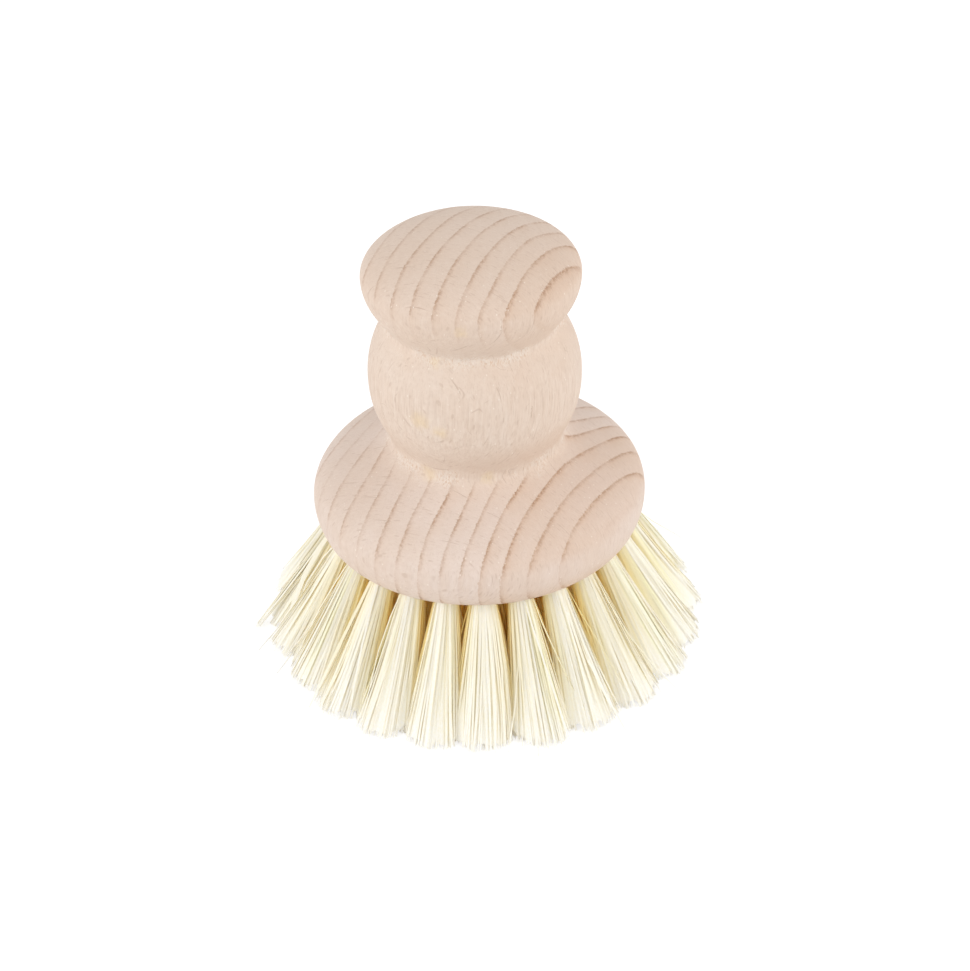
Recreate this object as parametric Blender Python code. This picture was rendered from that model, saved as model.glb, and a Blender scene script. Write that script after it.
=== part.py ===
"""Pot brush: a turned beech knob handle with wire-anchored tufts of plant fibre.

The handle is one solid turning. Its round board carries blind holes in rings,
each drilled along the line of its tuft, so the tufts lean out more from ring to
ring. A tuft is a bundle of fibre doubled over a wire staple, whose legs bite into
the wood past the hole's end. Each tuft is one solid with its staple: a plug of
packed fibre, the two legs behind it, and strands that fan out below the board.
The strands are trimmed flat on the plane z = 0.

Units are metres, +Z is up, and the origin lies on the turning axis in the plane
of the trimmed fibre ends.
"""

import math

import bmesh
import bpy
from mathutils import Matrix, Vector

# Clearances
FIT_GAP = 0.0003
CUT_OVERRUN = 0.001

# Tuft holes in the board
RING_COUNT = 3
TUFTS_PER_RING_STEP = 8
HOLE_DIAMETER = 0.0044
HOLE_LAND = 0.00188
HOLE_DEPTH = 0.0075
HOLE_SIDES = 8
LEAN_STEP = math.radians(8.5)

# Turned handle, from the board's face upwards
FIBRE_TRIM = 0.0223
FACE_MARGIN = 0.0004
RIM_OVERHANG = 0.00315
RIM_RISE = 0.0057
NECK_RISE = 0.0126
WAIST_RISE = 0.0123
GROOVE_RISE = 0.0115
KNOB_RISE = 0.0081
CROWN_RISE = 0.00775
NECK_RADIUS = 0.0155
WAIST_RADIUS = 0.0187
GROOVE_RADIUS = 0.0154
KNOB_RADIUS = 0.0188
SHOULDER_HEADING = math.radians(-22.5)
SHOULDER_OUT_SHARE = 0.403
SHOULDER_DROP_SHARE = 0.327
HANDLE_SEGMENTS = 48
CURVE_STEPS = 5

# How far the outline's curve handles reach before and after each station, from
# the top down, as shares of the chord there
CROWN_REACH_SHARES = (0, 0.494)
KNOB_REACH_SHARES = (0.204, 0.512)
GROOVE_REACH_SHARES = (0.128, 0.112)
WAIST_REACH_SHARES = (0.581, 0.605)
NECK_REACH_SHARES = (0.236, 0.259)
SHOULDER_REACH_SHARES = (0.300, 0.408)
RIM_REACH_SHARES = (0.405, 0.453)
FACE_REACH_SHARES = (0.269, 0)

# Tufts and their wire staples
WIRE_WIDTH = 0.0006
LEG_BITE = 0.003
LEG_BURY = 0.001
MOUTH_RECESS = 0.001
STRAND_BURY = 0.0004
STRAND_SIDES = 3
STRAND_ROOT_WIDTH = 0.00084
STRAND_TIP_WIDTH = 0.0012
TRIM_CUT = 0.0005
INNER_STRANDS = 3
OUTER_STRANDS = 7
INNER_ROOT_SHARE = 0.4
OUTER_ROOT_SHARE = 1.0
INNER_TIP_SHARE = 0.42
OUTER_TIP_SHARE = 1.0

# Sizes that follow from the ones above
HOLE_RADIUS = HOLE_DIAMETER / 2
BUNDLE_RADIUS = HOLE_RADIUS - FIT_GAP
RING_PITCH = (HOLE_DIAMETER + HOLE_LAND) * TUFTS_PER_RING_STEP / (2 * math.pi)
OUTER_RING_RADIUS = RING_PITCH * RING_COUNT
OUTER_LEAN = LEAN_STEP * RING_COUNT
FACE_RADIUS = OUTER_RING_RADIUS + HOLE_RADIUS / math.cos(OUTER_LEAN) + FACE_MARGIN
BOARD_RADIUS = FACE_RADIUS + RIM_OVERHANG
FACE_HEIGHT = FIBRE_TRIM
RIM_HEIGHT = FACE_HEIGHT + RIM_RISE
NECK_HEIGHT = RIM_HEIGHT + NECK_RISE
WAIST_HEIGHT = NECK_HEIGHT + WAIST_RISE
GROOVE_HEIGHT = WAIST_HEIGHT + GROOVE_RISE
KNOB_HEIGHT = GROOVE_HEIGHT + KNOB_RISE
TOP_HEIGHT = KNOB_HEIGHT + CROWN_RISE
SHOULDER_RADIUS = NECK_RADIUS + SHOULDER_OUT_SHARE * (BOARD_RADIUS - NECK_RADIUS)
SHOULDER_HEIGHT = NECK_HEIGHT - SHOULDER_DROP_SHARE * NECK_RISE
PLUG_END_DEPTH = HOLE_DEPTH - FIT_GAP
LEG_OFFSET = BUNDLE_RADIUS - WIRE_WIDTH
LEG_HOLE_WIDTH = WIRE_WIDTH + 2 * FIT_GAP
LEG_HOLE_DEPTH = HOLE_DEPTH + LEG_BITE + FIT_GAP


def clear_objects():
    """Remove whatever the file holds before the brush is built."""
    for old in list(bpy.data.objects):
        bpy.data.objects.remove(old, do_unlink=True)


def make_material(name, colour, roughness, metallic):
    """Return a plain Principled material."""
    material = bpy.data.materials.new(name)
    material.use_nodes = True
    shader = material.node_tree.nodes["Principled BSDF"]
    shader.inputs["Base Color"].default_value = (*colour, 1.0)
    shader.inputs["Roughness"].default_value = roughness
    shader.inputs["Metallic"].default_value = metallic
    return material


def add_object(name, mesh, parent, material=None):
    """Link a mesh to the scene as a named object under the brush's empty."""
    piece = bpy.data.objects.new(name, mesh)
    bpy.context.scene.collection.objects.link(piece)
    piece.parent = parent
    if material is not None and not mesh.materials:
        mesh.materials.append(material)
    return piece


def add_cutter(name, mesh, parent):
    """Link a mesh that only cuts others."""
    cutter = add_object(name, mesh, parent)
    cutter.hide_render = True
    cutter.display_type = "WIRE"
    return cutter


def add_boolean(piece, other, operation):
    """Cut or join a piece with another object."""
    modifier = piece.modifiers.new(operation.title(), "BOOLEAN")
    modifier.operation = operation
    modifier.solver = "EXACT"
    modifier.object = other


def mesh_from(bm, name):
    """Write a bmesh to a mesh with its faces pointing out."""
    bmesh.ops.recalc_face_normals(bm, faces=bm.faces)
    mesh = bpy.data.meshes.new(name)
    bm.to_mesh(mesh)
    bm.free()
    return mesh


def bezier_point(start, start_handle, end_handle, end, step):
    """Return a point of a cubic curve, at a step from 0 to 1."""
    rest = 1 - step
    return (
        start * rest**3
        + start_handle * (3 * rest**2 * step)
        + end_handle * (3 * rest * step**2)
        + end * step**3
    )


def profile_stations():
    """List the turning's stations from the top down to the edge of its face.

    Each has its radius and height, the heading in which the outline passes it,
    and its reach shares.
    """
    out = 0
    down = math.radians(-90)
    back = math.radians(180)
    return (
        (0, TOP_HEIGHT, out, CROWN_REACH_SHARES),
        (KNOB_RADIUS, KNOB_HEIGHT, down, KNOB_REACH_SHARES),
        (GROOVE_RADIUS, GROOVE_HEIGHT, down, GROOVE_REACH_SHARES),
        (WAIST_RADIUS, WAIST_HEIGHT, down, WAIST_REACH_SHARES),
        (NECK_RADIUS, NECK_HEIGHT, down, NECK_REACH_SHARES),
        (SHOULDER_RADIUS, SHOULDER_HEIGHT, SHOULDER_HEADING, SHOULDER_REACH_SHARES),
        (BOARD_RADIUS, RIM_HEIGHT, down, RIM_REACH_SHARES),
        (FACE_RADIUS, FACE_HEIGHT, back, FACE_REACH_SHARES),
    )


def profile_points():
    """Return the turning's outline, radius and height, from the top down."""
    stations = profile_stations()
    points = [Vector(stations[0][:2])]
    for upper, lower in zip(stations, stations[1:]):
        start = Vector(upper[:2])
        end = Vector(lower[:2])
        chord = (end - start).length
        leave = Vector((math.cos(upper[2]), math.sin(upper[2])))
        arrive = Vector((math.cos(lower[2]), math.sin(lower[2])))
        start_handle = start + leave * (chord * upper[3][1])
        end_handle = end - arrive * (chord * lower[3][0])
        for step in range(1, CURVE_STEPS + 1):
            share = step / CURVE_STEPS
            points.append(bezier_point(start, start_handle, end_handle, end, share))
    return points


def turned_mesh(name, outline, segments):
    """Turn an outline that starts on the axis, and close it with a flat face."""
    bm = bmesh.new()
    pole = bm.verts.new((0, 0, outline[0].y))
    rings = []
    for radius, height in outline[1:]:
        ring = []
        for index in range(segments):
            angle = 2 * math.pi * index / segments
            ring.append(bm.verts.new((radius * math.cos(angle), radius * math.sin(angle), height)))
        rings.append(ring)
    for index in range(segments):
        following = (index + 1) % segments
        bm.faces.new((pole, rings[0][index], rings[0][following]))
        for upper, lower in zip(rings, rings[1:]):
            bm.faces.new((upper[index], lower[index], lower[following], upper[following]))
    bm.faces.new(rings[-1])
    return mesh_from(bm, name)


def tuft_sites():
    """List every tuft's name, ring number and bearing round the board."""
    ring_names = ("centre", "inner", "middle", "outer")
    sites = [("tuft_centre", 0, 0.0)]
    for ring in range(1, RING_COUNT + 1):
        count = TUFTS_PER_RING_STEP * ring
        for index in range(count):
            name = f"tuft_{ring_names[ring]}_{index + 1:02d}"
            bearing = math.radians(-90) + 2 * math.pi * index / count
            sites.append((name, ring, bearing))
    return sites


def hole_frame(ring):
    """Return the frame of a ring's hole on the +X side of the board.

    Its origin is the hole's mouth in the board's face, its Z axis runs into the
    wood, its Y axis lies along the ring.
    """
    mouth = Vector((RING_PITCH * ring, 0, FACE_HEIGHT))
    return Matrix.Translation(mouth) @ Matrix.Rotation(-LEAN_STEP * ring, 4, "Y")


def site_matrix(ring, bearing):
    """Return the frame of one hole anywhere on the board."""
    return Matrix.Rotation(bearing, 4, "Z") @ hole_frame(ring)


def add_prism(bm, outline, low, high):
    """Add a closed prism on an outline in X and Y, and return its vertices."""
    bottom = [bm.verts.new((x, y, low)) for x, y in outline]
    top = [bm.verts.new((x, y, high)) for x, y in outline]
    bm.faces.new(bottom[::-1])
    bm.faces.new(top)
    for index in range(len(outline)):
        following = (index + 1) % len(outline)
        bm.faces.new((bottom[index], bottom[following], top[following], top[index]))
    return bottom + top


def polygon(radius, sides):
    """Return a regular outline with a flat side across its X axis."""
    turn = math.pi / sides
    angles = [turn + 2 * math.pi * index / sides for index in range(sides)]
    return [(radius * math.cos(angle), radius * math.sin(angle)) for angle in angles]


def rectangle(x_size, y_size, y_centre=0.0):
    """Return a rectangle's outline, centred on X."""
    near = y_centre - y_size / 2
    far = y_centre + y_size / 2
    return [(-x_size / 2, near), (x_size / 2, near), (x_size / 2, far), (-x_size / 2, far)]


def hole_cutter_mesh():
    """Make one cutter for all the tuft holes."""
    bm = bmesh.new()
    for _, ring, bearing in tuft_sites():
        reach = CUT_OVERRUN + HOLE_RADIUS * math.tan(LEAN_STEP * ring)
        added = add_prism(bm, polygon(HOLE_RADIUS, HOLE_SIDES), -reach, HOLE_DEPTH)
        bmesh.ops.transform(bm, matrix=site_matrix(ring, bearing), verts=added)
    return mesh_from(bm, "tuft_hole_cutter")


def add_leg_pair(bm, width, start, end, frame):
    """Add two square prisms where a staple's legs stand in one hole's frame."""
    for side in (-LEG_OFFSET, LEG_OFFSET):
        added = add_prism(bm, rectangle(width, width, side), start, end)
        bmesh.ops.transform(bm, matrix=frame, verts=added)


def leg_cutter_mesh():
    """Make one cutter for the two small holes that each staple's legs bite."""
    bm = bmesh.new()
    for _, ring, bearing in tuft_sites():
        frame = site_matrix(ring, bearing)
        add_leg_pair(bm, LEG_HOLE_WIDTH, HOLE_DEPTH - FIT_GAP, LEG_HOLE_DEPTH, frame)
    return mesh_from(bm, "staple_leg_cutter")


def leg_mesh(ring):
    """Make the two staple legs of a tuft of one ring."""
    bm = bmesh.new()
    start = PLUG_END_DEPTH - LEG_BURY
    add_leg_pair(bm, WIRE_WIDTH, start, HOLE_DEPTH + LEG_BITE, hole_frame(ring))
    return mesh_from(bm, "staple_legs")


def build_handle(parent, material):
    """Turn the handle and drill its holes."""
    mesh = turned_mesh("handle", profile_points(), HANDLE_SEGMENTS)
    mesh.shade_smooth()
    mesh.set_sharp_from_angle(angle=math.radians(35))
    handle = add_object("handle", mesh, parent, material)
    holes = add_cutter("tuft_hole_cutter", hole_cutter_mesh(), parent)
    legs = add_cutter("staple_leg_cutter", leg_cutter_mesh(), parent)
    add_boolean(handle, holes, "DIFFERENCE")
    add_boolean(handle, legs, "DIFFERENCE")


def tip_radius(ring):
    """Return how far from the axis a ring's tufts meet the trim plane."""
    return RING_PITCH * ring + FIBRE_TRIM * math.tan(LEAN_STEP * ring)


def tip_spread(ring):
    """Return how far a tuft's strands fan out at the trim, out and along the ring."""
    margin = (FIT_GAP + STRAND_TIP_WIDTH) / 2
    neighbour = ring - 1 if ring else 1
    out = abs(tip_radius(ring) - tip_radius(neighbour)) / 2 - margin
    if ring == 0:
        return out, out
    half_step = math.pi / (TUFTS_PER_RING_STEP * ring)
    return out, tip_radius(ring) * math.sin(half_step) - margin


def add_strand(bm, root, tip, turn):
    """Add one tapered strand from inside the bundle to past the trim plane."""
    run = (tip - root).normalized()
    start = root - run * STRAND_BURY
    end = tip + run * (TRIM_CUT / abs(run.z))
    outward = Vector((math.cos(turn), math.sin(turn), 0))
    side = run.cross(outward).normalized()
    front = side.cross(run)
    loops = []
    for centre, width in ((start, STRAND_ROOT_WIDTH), (end, STRAND_TIP_WIDTH)):
        loop = []
        for index in range(STRAND_SIDES):
            angle = math.pi + 2 * math.pi * index / STRAND_SIDES
            offset = front * math.cos(angle) + side * math.sin(angle)
            loop.append(bm.verts.new(centre + offset * (width / 2)))
        loops.append(loop)
    bm.faces.new(loops[0][::-1])
    bm.faces.new(loops[1])
    for index in range(STRAND_SIDES):
        following = (index + 1) % STRAND_SIDES
        corners = (loops[0][index], loops[0][following], loops[1][following], loops[1][index])
        bm.faces.new(corners)


def strand_mesh(ring):
    """Make a ring's strands for the tuft on the +X side of the board."""
    bm = bmesh.new()
    frame = hole_frame(ring)
    root_circle = BUNDLE_RADIUS - (STRAND_ROOT_WIDTH + FIT_GAP) / 2
    out_spread, side_spread = tip_spread(ring)
    layers = (
        (INNER_STRANDS, INNER_ROOT_SHARE, INNER_TIP_SHARE),
        (OUTER_STRANDS, OUTER_ROOT_SHARE, OUTER_TIP_SHARE),
    )
    for count, root_share, tip_share in layers:
        for index in range(count):
            turn = 2 * math.pi * index / count
            reach = root_circle * root_share
            local = Vector((reach * math.cos(turn), reach * math.sin(turn), MOUTH_RECESS))
            tip_x = tip_radius(ring) + out_spread * tip_share * math.cos(turn)
            tip_y = side_spread * tip_share * math.sin(turn)
            add_strand(bm, frame @ local, Vector((tip_x, tip_y, 0)), turn)
    geometry = bm.verts[:] + bm.edges[:] + bm.faces[:]
    bmesh.ops.bisect_plane(bm, geom=geometry, plane_co=(0, 0, 0), plane_no=(0, 0, -1), clear_outer=True)
    bmesh.ops.holes_fill(bm, edges=bm.edges, sides=STRAND_SIDES)
    return mesh_from(bm, "strands")


def plug_mesh(ring):
    """Make the plug of packed fibre that fills a hole of one ring."""
    bm = bmesh.new()
    outline = polygon(BUNDLE_RADIUS, HOLE_SIDES)
    added = add_prism(bm, outline, MOUTH_RECESS, PLUG_END_DEPTH)
    bmesh.ops.transform(bm, matrix=hole_frame(ring), verts=added)
    return mesh_from(bm, "plug")


def tuft_mesh(ring, parent):
    """Join a ring's plug, staple legs and strands into one solid."""
    base = add_object("plug", plug_mesh(ring), parent)
    shapes = (
        add_cutter("staple_legs", leg_mesh(ring), parent),
        add_cutter("strands", strand_mesh(ring), parent),
    )
    for shape in shapes:
        add_boolean(base, shape, "UNION")
    depsgraph = bpy.context.evaluated_depsgraph_get()
    mesh = bpy.data.meshes.new_from_object(base.evaluated_get(depsgraph))
    mesh.name = f"tuft_ring_{ring}"
    for shape in (base, *shapes):
        bpy.data.objects.remove(shape, do_unlink=True)
    return mesh


def build_tufts(parent, material):
    """Place a tuft in every hole; the tufts of a ring share one mesh."""
    meshes = {}
    for name, ring, bearing in tuft_sites():
        if ring not in meshes:
            meshes[ring] = tuft_mesh(ring, parent)
        tuft = add_object(name, meshes[ring], parent, material)
        tuft.rotation_euler.z = bearing


def main():
    clear_objects()
    beech = make_material("beech", (0.76, 0.60, 0.49), 0.62, 0.0)
    fibre = make_material("plant_fibre", (0.82, 0.72, 0.50), 0.70, 0.0)
    brush = bpy.data.objects.new("pot_brush", None)
    bpy.context.scene.collection.objects.link(brush)
    build_handle(brush, beech)
    build_tufts(brush, fibre)
    bpy.context.view_layer.update()


main()
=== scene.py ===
"""Pot brush, dressed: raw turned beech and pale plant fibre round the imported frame.

The handle is turned again in fine steps, with round drilled holes and the torn
grain that a lathe leaves. Its wood is one solid texture: growth rings about a pith
that lies well outside the blank, rays that run out from it, and pores that run up
the tree. Each tuft is its own bundle of stiff fibres over a wire staple.

Units are metres, +Z is up, and the brush stands on z = 0. Lengths inside the
materials are millimetres.
"""

import math

import bmesh
import bpy
import numpy as np
from mathutils import Matrix, Vector, noise


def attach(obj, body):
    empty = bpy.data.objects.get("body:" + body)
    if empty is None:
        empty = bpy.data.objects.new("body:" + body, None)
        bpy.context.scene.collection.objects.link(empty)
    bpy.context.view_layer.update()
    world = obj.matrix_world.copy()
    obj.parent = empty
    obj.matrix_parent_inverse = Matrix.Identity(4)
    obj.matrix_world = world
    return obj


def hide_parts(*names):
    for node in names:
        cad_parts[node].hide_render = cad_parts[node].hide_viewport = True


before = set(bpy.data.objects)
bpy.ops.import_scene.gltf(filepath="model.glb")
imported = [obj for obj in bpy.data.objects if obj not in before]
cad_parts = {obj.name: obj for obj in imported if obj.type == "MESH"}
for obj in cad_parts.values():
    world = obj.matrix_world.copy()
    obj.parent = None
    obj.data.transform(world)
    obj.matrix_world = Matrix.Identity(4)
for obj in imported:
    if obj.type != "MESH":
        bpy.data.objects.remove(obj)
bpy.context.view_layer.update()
MILLIMETRES = 1000

# Camera and image
CAMERA_PLACE = (0.00104, -0.300, 0.24356)
CAMERA_PITCH = math.radians(54.29)
CAMERA_ROLL = math.radians(-2.14)
CAMERA_CLIPS = (0.01, 20)
SENSOR_WIDTH = 36
FOCAL_PIXELS = 2033.04
IMAGE_HEIGHT = 971

# The board and its holes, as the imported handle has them
RING_COUNT = 3
TUFTS_PER_RING_STEP = 8
HOLE_DIAMETER = 0.0044
HOLE_LAND = 0.00188
HOLE_DEPTH = 0.0075
HOLE_SIDES = 24
HOLE_OVERRUN = 0.001
DRILL_POINT = 0.0009
LEAN_STEP = math.radians(8.5)
FIT_GAP = 0.0003

# The turned outline, from the board's face upwards
FIBRE_TRIM = 0.0223
FACE_MARGIN = 0.0004
RIM_OVERHANG = 0.00315
RIM_RISE = 0.0057
NECK_RISE = 0.0126
WAIST_RISE = 0.0123
GROOVE_RISE = 0.0115
KNOB_RISE = 0.0081
CROWN_RISE = 0.00775
NECK_RADIUS = 0.0155
WAIST_RADIUS = 0.0187
GROOVE_RADIUS = 0.0154
KNOB_RADIUS = 0.0188
SHOULDER_HEADING = math.radians(-22.5)
SHOULDER_OUT_SHARE = 0.403
SHOULDER_DROP_SHARE = 0.327

# How finely the handle is turned, and how rough the lathe left it
HANDLE_SEGMENTS = 288
OUTLINE_STEP = 0.00036
HAND_WOBBLE = 0.00006
HAND_WOBBLE_SIZE = 0.011
TORN_DEPTH = 0.00011
TORN_SIZE = 0.0011
TORN_REACH = 0.0016
TORN_GAIN = 1.0
TORN_LACUNARITY = 2.0
TORN_OCTAVES = 3
SHARP_ANGLE = math.radians(38)

# Fibres, by ring from the centre outwards where there are four values
SEED = 4107
STRANDS = (150, 150, 170, 290)
LOCKS = (9, 9, 11, 17)
SHELL_POWER = 0.035
EVEN_POWER = 0.5
CORE_SHARE = 0.22
STRAND_SIDES = 3
STRAND_STEPS = 5
STRAND_WIDTH = 0.00042
STRAND_THICKNESS_SHARE = 0.4
STRAND_WIDTH_SPREAD_SHARE = 0.22
STRAND_TAPER = ((0.0, 1.0), (0.8, 1.05), (1.0, 0.60))
STRAND_BURY = 0.0016
STRAND_STIFF_SHARE = 0.46
STRAND_SPLAY = 0.7
STRAND_TURN = 0.15
TURN_JITTER = 0.12
TIP_JITTER = 0.0003
STRAND_BOW = 0.00018
LOCK_PULL = 0.30
LOCK_PULL_SPREAD = 0.15
TUFT_SWAY = 0.0004
TIP_REACH = 0.0064
TIP_OVERLAP_SHARE = 1.32
RAGGED_TRIM = 0.00034
RAGGED_LIMIT = 0.0012
STRAY_SHARE = 0.025
STRAY_REACH = 0.0022
STRAY_BOW_GAIN = 4.0
GOLDEN_ANGLE = math.pi * (3 - math.sqrt(5))

# Tufts that stand apart from a neighbour, and locks that stick out to a point
TUFT_SHIFTS = {"tuft_outer_01": -0.0006, "tuft_outer_02": 0.0006}
TUFT_SPLAYS = {"tuft_outer_01": 1.3}
LOOSE_LOCKS = {"tuft_outer_19": (-0.0427, -0.0034), "tuft_outer_18": (-0.0386, 0.0109)}
LOOSE_FROM = 0.80
LOOSE_SIDE = 0.42
LOOSE_GATHER = 0.30

# The packed heart of each tuft, where its fibres lie too close to part
HEART_SIDES = 48
HEART_RIDGE_SHARE = 0.02
HEART_LOOPS = (
    (0.0, 0.93), (0.2, 0.95), (0.4, 0.96), (0.6, 0.96), (0.8, 0.96), (0.98, 0.95), (0.94, 0.45),
)
HEART_RIM = 5
HEART_RAGGED = 0.22
HEART_COLUMNS = 0.12

# The wire staple in each hole
WIRE_RADIUS = 0.0003
WIRE_SIDES = 6
WIRE_BEND_STEPS = 8
WIRE_BITE = 0.003
WIRE_CROWN_DEPTH = 0.0045
LEG_OFFSET = HOLE_DIAMETER / 2 - FIT_GAP - 2 * WIRE_RADIUS

# Sizes that follow from the ones above
HOLE_RADIUS = HOLE_DIAMETER / 2
BUNDLE_RADIUS = HOLE_RADIUS - FIT_GAP
RING_PITCH = (HOLE_DIAMETER + HOLE_LAND) * TUFTS_PER_RING_STEP / math.tau
OUTER_RING_RADIUS = RING_PITCH * RING_COUNT
OUTER_LEAN = LEAN_STEP * RING_COUNT
FACE_RADIUS = OUTER_RING_RADIUS + HOLE_RADIUS / math.cos(OUTER_LEAN) + FACE_MARGIN
BOARD_RADIUS = FACE_RADIUS + RIM_OVERHANG
FACE_HEIGHT = FIBRE_TRIM
RIM_HEIGHT = FACE_HEIGHT + RIM_RISE
NECK_HEIGHT = RIM_HEIGHT + NECK_RISE
WAIST_HEIGHT = NECK_HEIGHT + WAIST_RISE
GROOVE_HEIGHT = WAIST_HEIGHT + GROOVE_RISE
KNOB_HEIGHT = GROOVE_HEIGHT + KNOB_RISE
TOP_HEIGHT = KNOB_HEIGHT + CROWN_RISE
SHOULDER_RADIUS = NECK_RADIUS + SHOULDER_OUT_SHARE * (BOARD_RADIUS - NECK_RADIUS)
SHOULDER_HEIGHT = NECK_HEIGHT - SHOULDER_DROP_SHARE * NECK_RISE

# The turning's stations from the top down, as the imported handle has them: radius, height, heading,
# and the reach of its curve's handles before and after, as shares of the chord
OUT, DOWN, BACK = 0, math.radians(-90), math.radians(180)
STATIONS = (
    (0, TOP_HEIGHT, OUT, 0, 0.494),
    (KNOB_RADIUS, KNOB_HEIGHT, DOWN, 0.204, 0.512),
    (GROOVE_RADIUS, GROOVE_HEIGHT, DOWN, 0.128, 0.112),
    (WAIST_RADIUS, WAIST_HEIGHT, DOWN, 0.581, 0.605),
    (NECK_RADIUS, NECK_HEIGHT, DOWN, 0.236, 0.259),
    (SHOULDER_RADIUS, SHOULDER_HEIGHT, SHOULDER_HEADING, 0.300, 0.408),
    (BOARD_RADIUS, RIM_HEIGHT, DOWN, 0.405, 0.453),
    (FACE_RADIUS, FACE_HEIGHT, BACK, 0.269, 0),
)


# Nodes

# The Mix node's sockets when it blends colours, and the middle of what a Noise node returns
MIX_FACTOR = 0
MIX_COLOURS = (6, 7)
MIX_RESULT = 2
NOISE_MIDDLE = 0.5
UNUSED_W = 0.0


def feed(tree, socket, value):
    """Give an input a link or a plain value."""
    if isinstance(value, bpy.types.NodeSocket):
        tree.links.new(value, socket)
    else:
        socket.default_value = value


def feed_named(tree, node, values):
    """Feed a node's inputs by their names."""
    for name, value in values.items():
        feed(tree, node.inputs[name], value)


def add_node(tree, kind, *values, **settings):
    """Add a shader node, set its properties and feed its first inputs in order."""
    made = tree.nodes.new(f"ShaderNode{kind}")
    for name, value in settings.items():
        setattr(made, name, value)
    for socket, value in zip(made.inputs, values):
        feed(tree, socket, value)
    return made


def calc(tree, operation, *values):
    """Add a Math node and return its result."""
    return add_node(tree, "Math", *values, operation=operation).outputs[0]


def times(tree, *values):
    """Multiply values together."""
    product = values[0]
    for value in values[1:]:
        product = calc(tree, "MULTIPLY", product, value)
    return product


def between(tree, share, low, high):
    """Return a value from low to high, by a share from 0 to 1."""
    return calc(tree, "MULTIPLY_ADD", share, high - low, low)


def shaken(tree, value, found, reach):
    """Shift a value to either side by noise, over a reach in all."""
    return calc(tree, "MULTIPLY_ADD", calc(tree, "SUBTRACT", found, NOISE_MIDDLE), reach, value)


def vector_calc(tree, operation, *values, output="Vector"):
    """Add a Vector Math node and return its vector, or the number in its output Value."""
    return add_node(tree, "VectorMath", *values, operation=operation).outputs[output]


def remap(tree, value, low, high, to_low=0.0, to_high=1.0):
    """Map a range smoothly onto another and hold it there."""
    values = (value, low, high, to_low, to_high)
    return add_node(tree, "MapRange", *values, interpolation_type="SMOOTHSTEP").outputs[0]


def combine(tree, x, y, z):
    """Join three values to a vector."""
    return add_node(tree, "CombineXYZ", x, y, z).outputs[0]


def separate(tree, vector):
    """Split a vector into its three values."""
    return add_node(tree, "SeparateXYZ", vector).outputs


def add_noise(tree, vector, size, detail=2.0, roughness=0.5, output="Fac"):
    """Return noise whose features measure about one size."""
    values = (vector, UNUSED_W, 1 / size, detail, roughness)
    return add_node(tree, "TexNoise", *values).outputs[output]


def masked_noise(tree, vector, size, detail, span):
    """Return where noise lies in the part of its range that shows."""
    return remap(tree, add_noise(tree, vector, size, detail), *span)


def warped(tree, place, vector, size, reach, detail=2.0):
    """Shift a place to all sides by noise that is read at a vector."""
    colour = add_noise(tree, vector, size, detail, output="Color")
    shift = vector_calc(tree, "SUBTRACT", colour, (NOISE_MIDDLE,) * 3)
    return vector_calc(tree, "ADD", place, vector_calc(tree, "MULTIPLY", shift, (reach,) * 3))


def add_cells(tree, vector, feature):
    """Add a Voronoi node with cells of size 1."""
    return add_node(tree, "TexVoronoi", vector, UNUSED_W, 1.0, feature=feature).outputs


def mix_colour(tree, share, first, second):
    """Blend two colours by a share from 0 to 1."""
    made = add_node(tree, "Mix", data_type="RGBA")
    feed(tree, made.inputs[MIX_FACTOR], share)
    for index, colour in zip(MIX_COLOURS, (first, second)):
        linked = isinstance(colour, bpy.types.NodeSocket)
        feed(tree, made.inputs[index], colour if linked else (*colour, 1))
    return made.outputs[MIX_RESULT]


def ramp(tree, value, stops):
    """Return a value read from stops, each a place and a height."""
    made = add_node(tree, "ValToRGB", value)
    elements = made.color_ramp.elements
    while len(elements) < len(stops):
        elements.new(0.5)
    for element, (place, height) in zip(elements, stops):
        element.position = place
        element.color = (height, height, height, 1)
    return made.outputs["Color"]


def new_material(name):
    """Return an empty material, its tree and its shader."""
    material = bpy.data.materials.new(name)
    material.use_nodes = True
    tree = material.node_tree
    return material, tree, tree.nodes["Principled BSDF"]


def in_millimetres(tree, vector):
    """Turn metres into millimetres."""
    return vector_calc(tree, "MULTIPLY", vector, (MILLIMETRES,) * 3)


# Beech

# The pith's place at neck height, and how the tree leans and bows, in millimetres
PITH_PLACE = (128.1, -84.5)
PITH_LEVEL = 40.0
PITH_LEAN = (0.093, 0.140)
PITH_BOW = -0.00115
PITH_DISTANCE = 153.0

# Growth rings. A range holds the values it runs from and to, and those it gives if not 0 and 1.
# Noise that shows in part holds its size, its detail and its range.
RING_SPACING = 3.86
RING_START = 124.5
RING_COUNT_SHIFT = 100
RING_DRAWN_IN = 1.3
RING_DRAWN_IN_FROM = (134.0, 147.0)
RING_DRAWN_IN_TO = (156.0, 173.0, 1.0, 0.0)
RING_WAVE = 0.9
RING_WAVE_SIZE = 16.0
RING_WAVE_STRETCH = (1, 1, 0.35)
RING_CHANCE = (0.0, 1.0, 0.7, 1.1)
RING_BREAKS = (6.0, 3.0, (0.34, 0.62, 0.40, 1.1))
RING_DASHES = (0.60, 1.0, (0.34, 0.56, 0.30, 1.0))
RING_FADE_OUT = (172.0, 134.0, 0.55, 1.0)
RING_FADE_IN = (123.0, 130.0)
RING_JAG = 0.34
RING_JAG_SIZES = (0.8, 0.26, 0.6)
RING_LINE_STOPS = (
    (0.0, 0.20), (0.03, 0.0), (0.80, 0.05), (0.89, 0.60), (0.94, 1.0), (0.985, 0.95), (1.0, 0.2),
)
RING_BAND_STOPS = ((0.0, 0.0), (0.30, 0.0), (0.70, 0.30), (0.93, 0.85), (0.985, 1.0), (1.0, 0.0))
RING_BAND_FADE = (156.0, 132.0, 0.65, 1.25)
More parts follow.
